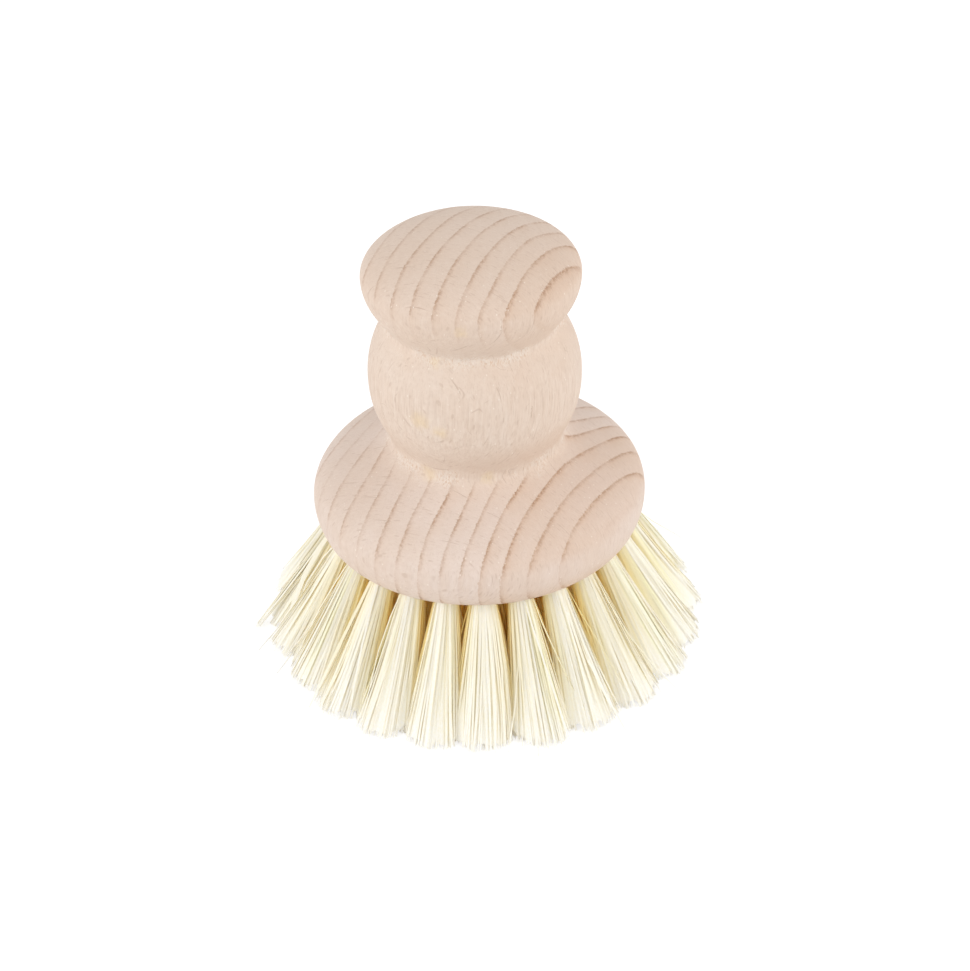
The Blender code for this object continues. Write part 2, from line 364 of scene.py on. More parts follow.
RING_SOFT_SHARE = 0.50
RING_HIDDEN_SHARE = 0.06
BAND_HIDDEN_SHARE = 0.14

# Zones by height, the noise that shifts their edges, and the slope that bares the end grain
RING_SHOWN_ABOVE = (68.5, 73.0)
RING_SHOWN_BELOW = (41.0, 38.0)
SCRAPED_NOISE = 5.0
KNOB_ZONE = (62.0, 71.0)
BOARD_ZONE = (42.0, 36.0)
END_GRAIN_SLOPE = (0.10, 0.55)
TORN_ZONE_GAIN = 1.4
TORN_ZONE_FULL = 0.2
TORN_ZONE_NOISE = 4.0
TORN_PATCH_SIZE = 5.0
TORN_PATCH_SHIFT = (7, 3, 9)
TORN_PATCHES = (0.40, 0.60, 0.15, 1.0)

# Noise drawn out along the tree's three directions, and the part of its range that shows
TONE = (13.0, 3.0, (0.35, 0.68, 0.0, 0.42))
INNER_RANGE = (148.0, 126.0, 0.0, 0.38)
INNER_ALONG_SHARE = 0.25
GRAIN = ((1.0, 1.0, 14.0), 3.0, (0.34, 0.66))
GRAIN_SHARES = (0.04, 0.28)
MOTTLE_SIZES = (1.0, 0.26, 1.0)
MOTTLE_DARK = (0.50, 0.34)
MOTTLE_LIGHT = (0.52, 0.68)
STRIPE_SIZES = (0.42, 0.42, 8.0)
STRIPE_DARK = (0.50, 0.36)
STRIPE_LIGHT = (0.50, 0.66)
STRIPE_SANDED_SHARE = 0.3
PORES = ((0.20, 0.20, 3.5), 2.0, (0.54, 0.70))
HAIRS = ((0.22, 0.22, 1.1), 3.0, (0.50, 0.62))
PITS = ((0.26, 0.26, 0.80), 3.0, (0.48, 0.38))
STREAK_ROUGHNESS = 0.6

# Small marks: the cell that may hold one, half the mark's size, and the share of cells that do
RAYS = ((5.4, 2.4, 4.6), (2.6, 0.11, 2.0), 0.42)
FLECKS = ((2.0, 0.8, 1.8), (0.7, 0.12, 0.75), 0.7)
DASHES = ((1.6, 1.6, 5.0), (0.17, 0.17, 2.4), 0.55)
SPECKS = ((0.95, 0.95, 0.95), (0.13, 0.13, 0.24), 0.22)
MARK_EDGE = (1.0, 0.45)
# Across a ray or a dash, the range over which it turns from its light side to its dark side: partly the
# mark's own colour, partly a painted highlight and shadow of its relief
RAY_SIDES = (-0.5, -0.1)
DASH_SIDES = (-0.4, 0.1)
DASH_FADE = (-12.0, 2.0, 0.25, 1.0)
DASH_WAVE = 0.9
ARC_SIZE = 4.0
ARC_LINE = (0.016, 0.005)
ARC_KEPT_SIZE = 3.5
ARC_KEPT_SHIFT = (31, 17, 5)
ARC_KEPT = (0.58, 0.64)

GOLD_STAINS = (
    ((-9.6, -15.9, 53.2), 2.6),
    ((-6.2, -17.4, 51.8), 1.9),
    ((-8.6, -13.1, 40.5), 2.4),
    ((-1.8, -18.4, 71.7), 1.6),
    ((-6.5, -14.3, 63.7), 1.5),
    ((1.6, -15.5, 40.8), 1.9),
)
STAIN_NOISE = 2.4
STAIN_NOISE_SIZE = 1.6

BEECH_PALE = (0.755, 0.632, 0.550)
BEECH_WARM = (0.715, 0.560, 0.450)
BEECH_RING = (0.400, 0.235, 0.150)
BEECH_RAY = (0.480, 0.325, 0.235)
BEECH_PORE = (0.530, 0.385, 0.290)
BEECH_LIGHT = (0.920, 0.840, 0.760)
BEECH_GOLD = (0.800, 0.610, 0.330)
BEECH_RUST = (0.600, 0.370, 0.210)
BEECH_TAN = (0.660, 0.450, 0.315)
BEECH_ROSE = (0.775, 0.655, 0.605)

# What lies over the pale wood, from the lowest up: its strength and its colour
BEECH_LAYERS = {
    "scraped": (0.08, BEECH_GOLD),
    "knob": (0.50, BEECH_WARM),
    "board": (0.28, BEECH_ROSE),
    "tone": (1.0, BEECH_WARM),
    "ring_chance": (0.20, BEECH_WARM),
    "inner": (1.0, BEECH_TAN),
    "grain": (1.0, BEECH_WARM),
    "band": (0.70, BEECH_TAN),
    "line": (0.78, BEECH_RING),
    "gold": (0.40, BEECH_GOLD),
    "dark_mottle": (0.07, BEECH_RAY),
    "light_mottle": (0.10, BEECH_LIGHT),
    "dark_stripe": (0.13, BEECH_RAY),
    "light_stripe": (0.14, BEECH_LIGHT),
    "flecks": (0.28, BEECH_RAY),
    # Rays and dashes: their own colour with a painted shadow and highlight of their relief
    "dark_ray": (0.46, BEECH_RAY),
    "light_ray": (0.14, BEECH_LIGHT),
    "pores": (0.22, BEECH_PORE),
    "dark_dash": (0.50, BEECH_RAY),
    "light_dash": (0.45, BEECH_LIGHT),
    "arcs": (0.35, BEECH_RAY),
    # Lighter torn grain at the groove and the neck: partly the pale torn fibres, partly painted light
    # that lifts the shade in these creases
    "torn": (0.24, BEECH_LIGHT),
    "torn_pits": (0.55, BEECH_RUST),
    "torn_hairs": (0.38, BEECH_LIGHT),
    "specks": (0.60, BEECH_LIGHT),
}
BEECH_ROUGH = 0.58
BEECH_ROUGHER = {"pores": 0.12, "torn": 0.15}
BEECH_SHINE = 0.35
BUMP_HEIGHTS = {"line": -0.5, "pores": -0.5, "dark_ray": -0.5, "torn_hairs": 0.8}
BUMP_STRENGTH = 0.5
BUMP_DEPTH = 0.0001


def trunk_coordinates(tree, place):
    """Return a point's place in the tree: out from the pith, round and up it."""
    read_at = vector_calc(tree, "MULTIPLY", place, RING_WAVE_STRETCH)
    x, y, z = separate(tree, warped(tree, place, read_at, RING_WAVE_SIZE, 2 * RING_WAVE, detail=1.0))
    above = calc(tree, "SUBTRACT", z, PITH_LEVEL)
    bow = times(tree, above, above, PITH_BOW)
    pith_x = calc(tree, "ADD", calc(tree, "MULTIPLY_ADD", above, PITH_LEAN[0], PITH_PLACE[0]), bow)
    pith_y = calc(tree, "MULTIPLY_ADD", above, PITH_LEAN[1], PITH_PLACE[1])
    out_x = calc(tree, "SUBTRACT", x, pith_x)
    out_y = calc(tree, "SUBTRACT", y, pith_y)
    squares = calc(tree, "MULTIPLY_ADD", out_x, out_x, times(tree, out_y, out_y))
    out = calc(tree, "SQRT", squares)
    turn = calc(tree, "ARCTAN2", out_y, times(tree, out_x, -1))
    return combine(tree, out, times(tree, turn, PITH_DISTANCE), z)


def uneven_height(tree, place, reach):
    """Return a point's height, shifted so that a zone's edges wander."""
    return shaken(tree, separate(tree, place)[2], add_noise(tree, place, reach), reach)


def scraped_zone(tree, place):
    """Return how far a point lies on the waist, where the rings are all but scraped off."""
    height = uneven_height(tree, place, SCRAPED_NOISE)
    above = remap(tree, height, *RING_SHOWN_ABOVE)
    below = remap(tree, height, *RING_SHOWN_BELOW)
    return calc(tree, "SUBTRACT", 1.0, calc(tree, "MAXIMUM", above, below))


def ring_strength(tree, place, out, chance):
    """Return how clearly a ring shows at a point."""
    own = remap(tree, chance, *RING_CHANCE)
    broken = masked_noise(tree, place, *RING_BREAKS)
    outer = remap(tree, out, *RING_FADE_OUT)
    inner = remap(tree, out, *RING_FADE_IN)
    return times(tree, own, broken, inner, outer)


def ring_shade(tree, place, trunk, across, scraped):
    """Return a ring's dark line, the warm band before it, and its own number."""
    out = shaken(tree, separate(tree, trunk)[0], streaks(tree, trunk, RING_JAG_SIZES), 2 * RING_JAG)
    rise = remap(tree, out, *RING_DRAWN_IN_FROM)
    fall = remap(tree, out, *RING_DRAWN_IN_TO)
    drawn_in = calc(tree, "MULTIPLY_ADD", calc(tree, "MINIMUM", rise, fall), RING_DRAWN_IN, out)
    count = calc(tree, "DIVIDE", calc(tree, "SUBTRACT", drawn_in, RING_START), RING_SPACING)
    share = calc(tree, "FRACT", calc(tree, "ADD", count, RING_COUNT_SHIFT))
    number = add_node(tree, "TexWhiteNoise", noise_dimensions="1D")
    feed(tree, number.inputs["W"], calc(tree, "FLOOR", count))
    chance = number.outputs["Value"]
    cut = between(tree, across, RING_SOFT_SHARE, 1.0)
    strength = times(tree, ring_strength(tree, place, out, chance), cut)
    dashed = masked_noise(tree, place, *RING_DASHES)
    line_kept = between(tree, scraped, 1.0, RING_HIDDEN_SHARE)
    line = times(tree, ramp(tree, share, RING_LINE_STOPS), dashed, strength, cut, line_kept)
    band_kept = between(tree, scraped, 1.0, BAND_HIDDEN_SHARE)
    band = times(tree, ramp(tree, share, RING_BAND_STOPS), strength, band_kept)
    band = times(tree, band, remap(tree, out, *RING_BAND_FADE))
    return line, band, chance


def streaks(tree, trunk, sizes, detail=2.0):
    """Return noise drawn out along the tree's three directions."""
    return add_noise(tree, vector_calc(tree, "DIVIDE", trunk, sizes), 1.0, detail, STREAK_ROUGHNESS)


def masked_streaks(tree, trunk, sizes, detail, span):
    """Return where streaks lie in the part of their range that shows."""
    return remap(tree, streaks(tree, trunk, sizes, detail), *span)


def marks(tree, trunk, cell, half, share):
    """Scatter small flat marks, and return them and each point's place across its mark."""
    inside = vector_calc(tree, "DIVIDE", trunk, cell)
    cells = add_cells(tree, inside, "F1")
    away = vector_calc(tree, "SUBTRACT", inside, cells["Position"])
    reach = tuple(length / own for length, own in zip(cell, half))
    local = vector_calc(tree, "MULTIPLY", away, reach)
    chosen = calc(tree, "LESS_THAN", separate(tree, cells["Color"])[0], share)
    found = remap(tree, vector_calc(tree, "LENGTH", local, output="Value"), *MARK_EDGE)
    return times(tree, found, chosen), separate(tree, local)[1]


def shifted_noise(tree, place, shift, size):
    """Return noise read elsewhere, so that it repeats no other's pattern."""
    return add_noise(tree, vector_calc(tree, "ADD", place, shift), size)


def torn_zone(tree, place):
    """Return how far a point lies in the torn grain of the groove or the neck."""
    height = uneven_height(tree, place, TORN_ZONE_NOISE)
    found = 0.0
    for level in (GROOVE_HEIGHT, NECK_HEIGHT):
        away = calc(tree, "ABSOLUTE", calc(tree, "SUBTRACT", height, level * MILLIMETRES))
        near = remap(tree, away, TORN_REACH * MILLIMETRES * TORN_ZONE_GAIN, TORN_ZONE_FULL)
        found = calc(tree, "MAXIMUM", near, found)
    patches = shifted_noise(tree, place, TORN_PATCH_SHIFT, TORN_PATCH_SIZE)
    return times(tree, found, remap(tree, patches, *TORN_PATCHES))


def gold_stains(tree, place):
    """Return the soft golden stains round the waist."""
    moved = warped(tree, place, place, STAIN_NOISE_SIZE, STAIN_NOISE)
    found = 0.0
    for middle, reach in GOLD_STAINS:
        away = vector_calc(tree, "DISTANCE", moved, middle, output="Value")
        found = calc(tree, "MAXIMUM", remap(tree, away, reach, 0.0), found)
    return found


def knife_arcs(tree, place):
    """Return a few thin curved marks left by the turning tool."""
    shape = add_noise(tree, place, ARC_SIZE, detail=0.0)
    away = calc(tree, "ABSOLUTE", calc(tree, "SUBTRACT", shape, NOISE_MIDDLE))
    kept = shifted_noise(tree, place, ARC_KEPT_SHIFT, ARC_KEPT_SIZE)
    return times(tree, remap(tree, away, *ARC_LINE), remap(tree, kept, *ARC_KEPT))


def layered(tree, colour, layers):
    """Lay colours over one another, each by its mask and strength."""
    for mask, strength, over in layers:
        share = mask if strength == 1.0 else times(tree, mask, strength)
        colour = mix_colour(tree, share, colour, over)
    return colour


def added(tree, total, masks, strengths):
    """Add masks to a value, each by its own strength."""
    for name, strength in strengths.items():
        total = calc(tree, "MULTIPLY_ADD", masks[name], strength, total)
    return total


def grain_masks(tree, trunk, across, along, scraped):
    """Return where the fine grain shows, by name."""
    mottle = streaks(tree, trunk, MOTTLE_SIZES, detail=3.0)
    stripe = streaks(tree, trunk, STRIPE_SIZES)
    bared = times(tree, along, between(tree, scraped, STRIPE_SANDED_SHARE, 1.0))
    inner = remap(tree, separate(tree, trunk)[0], *INNER_RANGE)
    return {
        "inner": times(tree, inner, between(tree, across, INNER_ALONG_SHARE, 1.0)),
        "grain": times(tree, masked_streaks(tree, trunk, *GRAIN), between(tree, along, *GRAIN_SHARES)),
        "dark_mottle": remap(tree, mottle, *MOTTLE_DARK),
        "light_mottle": remap(tree, mottle, *MOTTLE_LIGHT),
        "dark_stripe": times(tree, remap(tree, stripe, *STRIPE_DARK), bared),
        "light_stripe": times(tree, remap(tree, stripe, *STRIPE_LIGHT), bared),
        "pores": masked_streaks(tree, trunk, *PORES),
    }


def mark_masks(tree, place, trunk, along):
    """Return where rays, flecks, dashes and specks show, by name; rays and dashes turn dark on one side
    and light on the other, a painted shadow and highlight of their relief.
    """
    ray, ray_side = marks(tree, trunk, *RAYS)
    wave = shaken(tree, 0.0, add_noise(tree, place, DASH_WAVE), DASH_WAVE)
    bent = vector_calc(tree, "ADD", trunk, combine(tree, 0.0, wave, 0.0))
    dash, dash_side = marks(tree, bent, *DASHES)
    dash = times(tree, dash, remap(tree, separate(tree, place)[0], *DASH_FADE), along)
    return {
        "flecks": marks(tree, trunk, *FLECKS)[0],
        "dark_ray": times(tree, ray, remap(tree, ray_side, *RAY_SIDES)),
        "light_ray": times(tree, ray, remap(tree, ray_side, *reversed(RAY_SIDES))),
        "dark_dash": times(tree, dash, remap(tree, dash_side, *DASH_SIDES)),
        "light_dash": times(tree, dash, remap(tree, dash_side, *reversed(DASH_SIDES))),
        "specks": marks(tree, place, *SPECKS)[0],
    }


def torn_masks(tree, place, scraped):
    """Return where the turning tool tore or marked the wood, by name; the torn zone is also where
    painted light lifts the shade of the groove and the neck.
    """
    torn = torn_zone(tree, place)
    return {
        "torn": torn,
        "torn_hairs": times(tree, masked_streaks(tree, place, *HAIRS), torn),
        "torn_pits": times(tree, masked_streaks(tree, place, *PITS), torn),
        "arcs": times(tree, knife_arcs(tree, place), scraped),
    }


def beech_masks(tree, place, normal):
    """Return where everything on the wood shows, by name."""
    trunk = trunk_coordinates(tree, place)
    across = remap(tree, calc(tree, "ABSOLUTE", separate(tree, normal)[2]), *END_GRAIN_SLOPE)
    along = calc(tree, "SUBTRACT", 1.0, across)
    scraped = scraped_zone(tree, place)
    line, band, chance = ring_shade(tree, place, trunk, across, scraped)
    height = separate(tree, place)[2]
    return {
        "line": line,
        "band": band,
        "ring_chance": chance,
        "scraped": scraped,
        "tone": masked_noise(tree, place, *TONE),
        "knob": remap(tree, height, *KNOB_ZONE),
        "board": remap(tree, height, *BOARD_ZONE),
        "gold": gold_stains(tree, place),
        **grain_masks(tree, trunk, across, along, scraped),
        **mark_masks(tree, place, trunk, along),
        **torn_masks(tree, place, scraped),
    }


def beech_material():
    """Raw sanded beech with rings, rays, pores, specks and torn grain."""
    material, tree, shader = new_material("beech_wood")
    found = add_node(tree, "TexCoord").outputs
    masks = beech_masks(tree, in_millimetres(tree, found["Object"]), found["Normal"])
    layers = [(masks[name], *layer) for name, layer in BEECH_LAYERS.items()]
    bump = add_node(tree, "Bump")
    feed_named(tree, bump, {
        "Strength": BUMP_STRENGTH,
        "Distance": BUMP_DEPTH,
        "Height": added(tree, 0.0, masks, BUMP_HEIGHTS),
    })
    feed_named(tree, shader, {
        "Base Color": layered(tree, BEECH_PALE, layers),
        "Roughness": added(tree, BEECH_ROUGH, masks, BEECH_ROUGHER),
        "Specular IOR Level": BEECH_SHINE,
        "Normal": bump.outputs["Normal"],
    })
    return material


# Plant fibre

FIBRE_TINT = "fibre_tint"
FIBRE_CREAM = (0.905, 0.858, 0.705)
FIBRE_WHITE = (0.915, 0.892, 0.800)
FIBRE_STRAW = (0.905, 0.835, 0.600)
FIBRE_LIME = (0.890, 0.865, 0.630)
FIBRE_GREY = (0.880, 0.850, 0.800)
# Painted shade: amber for fibre deep in the brush and gold for the flanks of the outer tufts, where they
# lie in the shade between tufts
FIBRE_PAINTED_SHADE_AMBER = (1.000, 0.855, 0.355)
FIBRE_PAINTED_SHADE_GOLD = (0.950, 0.865, 0.520)
# Painted light: the colour that the fibre ends whiten to, for the bright light on the tips
FIBRE_TIP = (0.990, 0.980, 0.945)
FIBRE_KINDS = (
    (FIBRE_CREAM, 0.50),
    (FIBRE_WHITE, 0.32),
    (FIBRE_STRAW, 0.09),
    (FIBRE_LIME, 0.08),
    (FIBRE_GREY, 0.01),
)
FIBRE_TINT_SPREAD = 0.03
LOCK_TINT_SHARE = 0.50
# The painted amber shade: how strong it gets at most, where along a line it is full and where it ends,
# by ring, how far it reaches round the outer tufts, and how uneven it is
AMBER_MOST = 0.95
AMBER_FULL = (0.70, 0.70, 0.70, 0.20)
AMBER_END = (1.0, 1.0, 1.0, 0.95)
AMBER_FRONT = 0.50
AMBER_DEPTH = 0.7
AMBER_UNEVEN = 0.22
# Painted shade: gold on the corner of each strand that faces into its tuft, and on the heart between the
# strands, where shade falls between them
STRAND_BACK_PAINTED_SHADE = (1.0, 0.94, 0.66)
HEART_PAINTED_SHADE = (1.0, 0.98, 0.86)
# Where the painted gold shade starts across an outer tuft's flank, and how strong it gets
FLANK_FROM = 0.55
FLANK_SHARE = 0.65
# Painted light at the tips: how white they get, and where along a line the whitening starts
TIP_WHITEN = 0.9
TIP_WHITEN_FROM = 0.62
# Painted shade: the dark colour in the crevices between cut fibre ends that face down
CREVICE_PAINTED_SHADE = (0.600, 0.460, 0.260)
FIBRE_END_SIZE = 0.38
FIBRE_END_GAP = (0.17, 0.04)
FACING_DOWN = (-0.66, -0.86)
FIBRE_END_SHARE = 0.45
CREVICE_PAINTED_SHADE_SHARE = 0.72
FIBRE_STREAK_STRETCH = (1, 1, 0.15)
FIBRE_STREAKS = (0.25, 3.0, (0.35, 0.7))
FIBRE_STREAK_SHARE = 0.32
FIBRE_ROUGH = (0.45, 0.65)
FIBRE_SHINE = 0.4
BAKE_CAP = 0.02
WIRE_LINE_SIZE = 0.12
WIRE_ROUGH = (0.3, 0.55)
WIRE_BRIGHT = (0.66, 0.66, 0.66)
WIRE_DULL = (0.52, 0.52, 0.53)


def cut_ends(tree, place, normal):
    """Return painted shade in the crevices between cut ends that look down, and a number for each end.
    """
    across = vector_calc(tree, "MULTIPLY", place, (1 / FIBRE_END_SIZE, 1 / FIBRE_END_SIZE, 0))
    away = add_cells(tree, across, "DISTANCE_TO_EDGE")["Distance"]
    own = separate(tree, add_cells(tree, across, "F1")["Color"])[0]
    down = remap(tree, separate(tree, normal)[2], *FACING_DOWN)
    return times(tree, remap(tree, away, *FIBRE_END_GAP), down), times(tree, own, down)


def fibre_material():
    """Stiff pale fibre in its own tint, streaked along its length."""
    material, tree, shader = new_material("plant_fibre_strands")
    tint = add_node(tree, "Attribute", attribute_name=FIBRE_TINT).outputs["Color"]
    found = add_node(tree, "TexCoord").outputs
    place = in_millimetres(tree, found["Object"])
    crevice, own = cut_ends(tree, place, found["Normal"])
    drawn_out = vector_calc(tree, "MULTIPLY", place, FIBRE_STREAK_STRETCH)
    streak = masked_noise(tree, drawn_out, *FIBRE_STREAKS)
    layers = (
        (streak, FIBRE_STREAK_SHARE, FIBRE_STRAW),
        (own, FIBRE_END_SHARE, FIBRE_STRAW),
        # painted shade in the crevices between the ends
        (crevice, CREVICE_PAINTED_SHADE_SHARE, CREVICE_PAINTED_SHADE),
    )
    feed_named(tree, shader, {
        "Base Color": layered(tree, tint, layers),
        "Roughness": between(tree, streak, *FIBRE_ROUGH),
        "Specular IOR Level": FIBRE_SHINE,
    })
    return material


def wire_material():
    """Drawn steel wire with faint die lines."""
    material, tree, shader = new_material("staple_wire")
    place = add_node(tree, "TexCoord").outputs["Object"]
    lines = add_noise(tree, in_millimetres(tree, place), WIRE_LINE_SIZE)
    feed_named(tree, shader, {
        "Base Color": mix_colour(tree, lines, WIRE_DULL, WIRE_BRIGHT),
        "Roughness": between(tree, lines, *WIRE_ROUGH),
        "Metallic": 1.0,
    })
    return material


# The turned handle

def bezier_point(start, start_handle, end_handle, end, step):
    """Return a point of a cubic curve, at a step from 0 to 1."""
    rest = 1 - step
    return (
        start * rest**3
        + start_handle * (3 * rest**2 * step)
        + end_handle * (3 * rest * step**2)
        + end * step**3
    )


def profile_points():
    """Return the outline, radius and height, in steps from the top down."""
    points = [Vector(STATIONS[0][:2])]
    for upper, lower in zip(STATIONS, STATIONS[1:]):
        start = Vector(upper[:2])
        end = Vector(lower[:2])
        chord = (end - start).length
        leave, arrive = (Vector((math.cos(turn), math.sin(turn))) for turn in (upper[2], lower[2]))
        start_handle = start + leave * (chord * upper[4])
        end_handle = end - arrive * (chord * lower[3])
        steps = math.ceil(chord / OUTLINE_STEP)
        for step in range(1, steps + 1):
            points.append(bezier_point(start, start_handle, end_handle, end, step / steps))
    return points


def torn_share(height):
    """Return how near a height is to the groove or the neck, from 0 to 1."""
    away = min(abs(height - GROOVE_HEIGHT), abs(height - NECK_HEIGHT))
    near = max(0.0, 1 - away / TORN_REACH)
    return near * near * (3 - 2 * near)


def lathe_error(point):
    """Return how far the lathe left the wood proud at a point."""
    wobble = noise.noise(point / HAND_WOBBLE_SIZE) * HAND_WOBBLE
    torn = noise.fractal(point / TORN_SIZE, TORN_GAIN, TORN_LACUNARITY, TORN_OCTAVES)
    return wobble + torn * TORN_DEPTH * torn_share(point.z)


def turned_mesh():
    """Turn the outline, rough it, and close it with a flat face."""
    outline = profile_points()
    last = len(outline) - 1
    bm = bmesh.new()
    pole = bm.verts.new((0, 0, outline[0].y))
    rings = []
    for index in range(1, len(outline)):
        before = outline[index - 1]
        after = outline[min(index + 1, last)]
        run = (after - before).normalized()
        normal = Vector((-run.y, run.x))
        ring = []
        for segment in range(HANDLE_SEGMENTS):
            angle = math.tau * segment / HANDLE_SEGMENTS
            turn = Vector((math.cos(angle), math.sin(angle)))
            point = Vector((*(turn * outline[index].x), outline[index].y))
            if index < last:
                outward = Vector((*(turn * normal.x), normal.y))
                point += outward * lathe_error(point)
            ring.append(bm.verts.new(point))
        rings.append(ring)
    for segment in range(HANDLE_SEGMENTS):
        following = (segment + 1) % HANDLE_SEGMENTS
        bm.faces.new((pole, rings[0][segment], rings[0][following]))
        for upper, lower in zip(rings, rings[1:]):
            bm.faces.new((upper[segment], lower[segment], lower[following], upper[following]))
    bm.faces.new(rings[-1])
    return mesh_from(bm, "turned_handle")


def mesh_from(bm, name):
    """Write a bmesh to a mesh with its faces pointing out."""
    bmesh.ops.recalc_face_normals(bm, faces=bm.faces)
    mesh = bpy.data.meshes.new(name)
    bm.to_mesh(mesh)
    bm.free()
    return mesh


def add_object(name, data):
    """Link a mesh, a light or a camera to the scene under a name."""
    made = bpy.data.objects.new(name, data)
    bpy.context.scene.collection.objects.link(made)
    return made


def tuft_sites():
    """List every tuft's node, ring number and bearing round the board."""
    ring_names = ("centre", "inner", "middle", "outer")
    sites = [("tuft_centre", 0, 0.0)]
    for ring in range(1, RING_COUNT + 1):
        count = TUFTS_PER_RING_STEP * ring
        for index in range(count):
            name = f"tuft_{ring_names[ring]}_{index + 1:02d}"
            bearing = math.radians(-90) + math.tau * index / count
            sites.append((name, ring, bearing))
    return sites


def hole_frame(ring):
    """Return the frame of a ring's hole on the +X side, its Z into the wood."""
    mouth = Vector((RING_PITCH * ring, 0, FACE_HEIGHT))
    return Matrix.Translation(mouth) @ Matrix.Rotation(-LEAN_STEP * ring, 4, "Y")


def add_drill(bm, hole, reach):
    """Add one pointed drill, from below the face to the hole's end."""
    loops = []
    for level in (-reach, HOLE_DEPTH - DRILL_POINT):
        loop = []
        for index in range(HOLE_SIDES):
            angle = math.tau * index / HOLE_SIDES
            local = Vector((HOLE_RADIUS * math.cos(angle), HOLE_RADIUS * math.sin(angle), level))
            loop.append(bm.verts.new(hole @ local))
        loops.append(loop)
    tip = bm.verts.new(hole @ Vector((0, 0, HOLE_DEPTH)))
    bm.faces.new(loops[0][::-1])
    for index in range(HOLE_SIDES):
        following = (index + 1) % HOLE_SIDES
        bm.faces.new((loops[0][index], loops[0][following], loops[1][following], loops[1][index]))
        bm.faces.new((loops[1][index], loops[1][following], tip))


def drill_mesh():
    """Make one cutter of all the drilled holes."""
    bm = bmesh.new()
    for _, ring, bearing in tuft_sites():
        reach = HOLE_OVERRUN + HOLE_RADIUS * math.tan(LEAN_STEP * ring)
        add_drill(bm, Matrix.Rotation(bearing, 4, "Z") @ hole_frame(ring), reach)
    return mesh_from(bm, "drill")


def build_handle(material):
    """Turn and drill the handle."""
    handle = add_object("turned_handle", turned_mesh())
    drill = add_object("drill", drill_mesh())
    cut = handle.modifiers.new("Drill", "BOOLEAN")
    cut.operation = "DIFFERENCE"
    cut.solver = "EXACT"
    cut.object = drill
    evaluated = handle.evaluated_get(bpy.context.evaluated_depsgraph_get())
    drilled = bpy.data.meshes.new_from_object(evaluated)
    handle.modifiers.clear()
    handle.data = drilled
    bpy.data.objects.remove(drill, do_unlink=True)
    handle.data.materials.clear()
    handle.data.materials.append(material)
    handle.data.shade_smooth()
    handle.data.set_sharp_from_angle(angle=SHARP_ANGLE)
    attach(handle, "root")
    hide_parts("handle")


# The tufts

def tip_radius(ring):
    """Return how far from the axis a ring's tufts meet the trim plane."""
    return RING_PITCH * ring + FIBRE_TRIM * math.tan(LEAN_STEP * ring)


def tip_spread(ring):
    """Return a tuft's reach at the trim, outwards and along the ring."""
    if ring == 0:
        return TIP_REACH, TIP_REACH
    half_step = math.pi / (TUFTS_PER_RING_STEP * ring)
    return TIP_REACH, tip_radius(ring) * math.sin(half_step) * TIP_OVERLAP_SHARE


def from_hole(ring, local):
    """Move points from a hole's own frame to the brush's."""
    hole = np.array(hole_frame(ring))
    return local @ hole[:3, :3].T + hole[:3, 3]


def into_wood(ring):
    """Return the direction that a ring's holes are drilled in."""
    return np.array(hole_frame(ring))[:3, 2]


def mouth_places(ring, flat):
    """Return where places on a unit disc lie in the mouth of a hole."""
    return from_hole(ring, np.column_stack([flat * BUNDLE_RADIUS, np.zeros(len(flat))]))


def tip_places(ring, flat):
    """Return where places on a unit disc lie on the trim plane."""
    places = np.column_stack([flat * np.array(tip_spread(ring)), np.zeros(len(flat))])
    places[:, 0] += tip_radius(ring)
    return places


def bent_lines(ring, mouth, tips, steps, splay):
    """Return points on lines that leave a hole straight and bend to their tips."""
    length = np.linalg.norm(tips - mouth, axis=1)
    bend = mouth - into_wood(ring) * (length * STRAND_STIFF_SHARE)[:, None]
    bend += (mouth - mouth_places(ring, np.zeros((1, 2)))) * splay
    steps = np.asarray(steps)[None, :, None]
    return (
        mouth[:, None] * (1 - steps) ** 2
        + bend[:, None] * (2 * steps * (1 - steps))
        + tips[:, None] * steps**2
    )


def disc_places(count, power, chance):
    """Spread places over a unit disc, crowded to its edge if the power is small."""
    order = np.arange(count)
    reach = ((order + 0.5) / count) ** power
    turn = order * GOLDEN_ANGLE + chance.normal(0, TURN_JITTER, count)
    return np.stack([reach * np.cos(turn), reach * np.sin(turn)], axis=1)


def nearest_lock(flat, locks):
    """Return the index of the lock that each place belongs to."""
    away = np.linalg.norm(flat[:, None] - locks[None, :], axis=2)
    return np.argmin(away, axis=1)


def gather_loose(tips, flat, node, bearing):
    """Draw one lock of a tuft out to a point beyond the others."""
    if node not in LOOSE_LOCKS:
        return
    chosen = (flat[:, 0] > LOOSE_FROM) & (np.abs(flat[:, 1]) < LOOSE_SIDE)
    target = Matrix.Rotation(-bearing, 3, "Z") @ Vector((*LOOSE_LOCKS[node], 0))
    middle = tips[chosen].mean(axis=0)
    tips[chosen] = np.array(target) + (tips[chosen] - middle) * LOOSE_GATHER


def strand_tips(site, flat, locks, chance):
    """Return each strand's end, and which few are astray."""
    node, ring, bearing = site
    count = len(flat)
    middle = locks[nearest_lock(flat, locks)]
    pull = LOCK_PULL + chance.normal(0, LOCK_PULL_SPREAD, (count, 1))
    tips = tip_places(ring, flat + (middle - flat) * pull)
    tips[:, :2] += chance.normal(0, TIP_JITTER, (count, 2))
    astray = chance.random(count) < STRAY_SHARE
    tips[:, :2] += astray[:, None] * chance.normal(0, STRAY_REACH, (count, 2))
    gather_loose(tips, flat, node, bearing)
    return tips, astray


